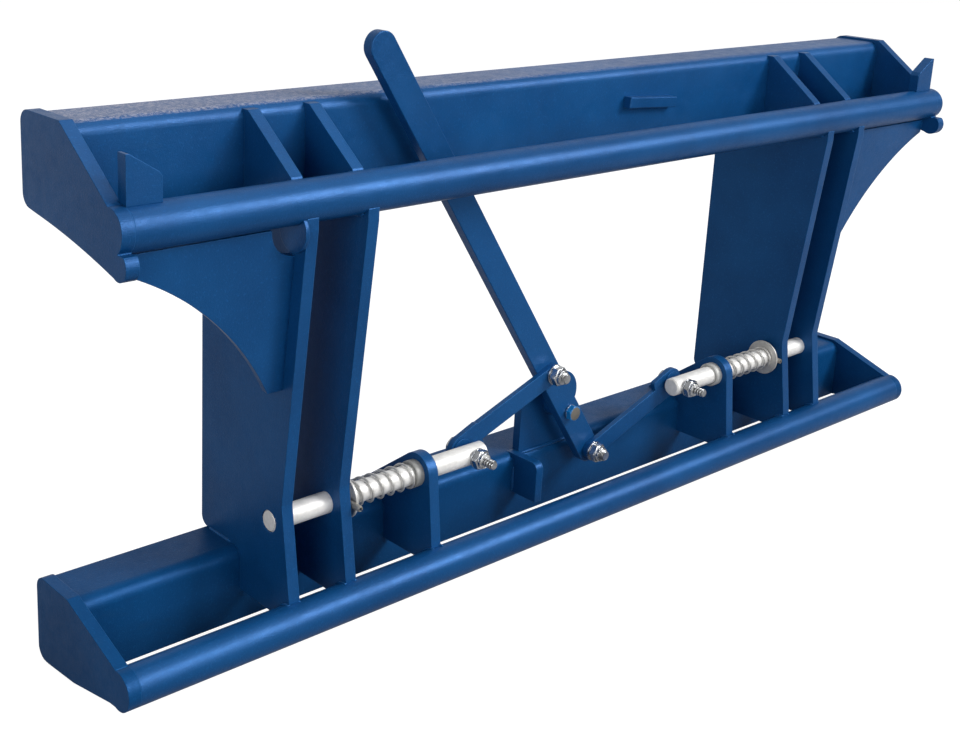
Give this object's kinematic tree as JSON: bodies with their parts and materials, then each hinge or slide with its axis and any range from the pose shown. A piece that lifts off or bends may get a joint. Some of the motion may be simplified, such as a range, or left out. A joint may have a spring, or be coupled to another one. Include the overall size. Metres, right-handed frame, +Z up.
{
  "type": "front loader euro adapter",
  "caption": "Welded quick-hitch carriage for a front loader: hook tube above, sprung lock pins below, drawn back together by a hand lever.",
  "frame": {"origin": "on the hook tube's axis, halfway along it", "axes": "+X along the hook tube to the right seen from the implement side, +Y back towards the loader, +Z up"},
  "size_m": [1.2, 0.1662, 0.5603],
  "materials": {
    "blue_paint": "semi-gloss powder coat",
    "zinc": "bright zinc plating",
    "spring_steel": "zinc-plated wire"
  },
  "bodies": {
    "carriage": {"guide_bush_left": "blue_paint", "guide_bush_right": "blue_paint", "gusset_left": "blue_paint", "gusset_right": "blue_paint", "hook_guide_left": "blue_paint", "hook_guide_right": "blue_paint", "hook_tube": "blue_paint", "inner_side_plate_left": "blue_paint", "inner_side_plate_right": "blue_paint", "lever_catch": "blue_paint", "lever_stop_rib": "blue_paint", "lower_beam": "blue_paint", "lower_end_plate_left": "blue_paint", "lower_end_plate_right": "blue_paint", "lower_tube": "blue_paint", "outer_side_plate_left": "blue_paint", "outer_side_plate_right": "blue_paint", "pin_guide_left": "blue_paint", "pin_guide_right": "blue_paint", "pivot_bolt": "zinc", "pivot_bracket": "blue_paint", "pivot_nut": "zinc", "pivot_spacer": "blue_paint", "pivot_washer": "zinc", "spring_left": "spring_steel", "spring_right": "spring_steel", "tube_boss": "blue_paint", "upper_beam": "blue_paint", "upper_end_plate_left": "blue_paint", "upper_end_plate_right": "blue_paint"},
    "lever": {"lever": "blue_paint", "link_bolt_left": "zinc", "link_nut_left": "zinc", "link_washer_left": "zinc", "link_bolt_right": "zinc", "link_nut_right": "zinc", "link_washer_right": "zinc"},
    "link_left": {"link_left": "blue_paint"},
    "link_right": {"link_right": "blue_paint"},
    "lock_pin_left": {"lock_pin_left": "zinc", "cross_bolt_left": "zinc", "cross_nut_left": "zinc", "cross_washers_left": "zinc", "roll_pin_left": "zinc", "spring_washer_left": "zinc"},
    "lock_pin_right": {"lock_pin_right": "zinc", "cross_bolt_right": "zinc", "cross_nut_right": "zinc", "cross_washers_right": "zinc", "roll_pin_right": "zinc", "spring_washer_right": "zinc"}
  },
  "joints": [
    {"name": "lever_pivot", "type": "hinge", "parent": "carriage", "child": "lever", "pos_m": [0, 0.0567, -0.305], "axis": [0, 1, 0], "range_deg": [0, 54]},
    {"name": "lock_pin_left_slide", "type": "slide", "parent": "carriage", "child": "lock_pin_left", "axis": [1, 0, 0], "range_m": [0, 0.0635], "stiffness_N_per_m": 1500, "springref_m": -0.02, "deforming": ["spring_left"]},
    {"name": "lock_pin_right_slide", "type": "slide", "parent": "carriage", "child": "lock_pin_right", "axis": [-1, 0, 0], "range_m": [0, 0.0635], "stiffness_N_per_m": 1500, "springref_m": -0.02, "deforming": ["spring_right"]},
    {"name": "link_left_pivot", "type": "hinge", "parent": "lever", "child": "link_left", "pos_m": [-0.03753, 0.0473, -0.25071], "axis": [0, 1, 0], "range_deg": [-59.5, 0]},
    {"name": "link_right_pivot", "type": "hinge", "parent": "lever", "child": "link_right", "pos_m": [0.03753, 0.0473, -0.35929], "axis": [0, 1, 0], "range_deg": [-59.5, 0]}
  ],
  "couplings": [
    {"joint": "lock_pin_left_slide", "follows": "lever_pivot", "m_per_rad": 0.067},
    {"joint": "lock_pin_right_slide", "follows": "lever_pivot", "m_per_rad": 0.067},
    {"joint": "link_left_pivot", "follows": "lever_pivot", "ratio": -1.09},
    {"joint": "link_right_pivot", "follows": "lever_pivot", "ratio": -1.09}
  ]
}
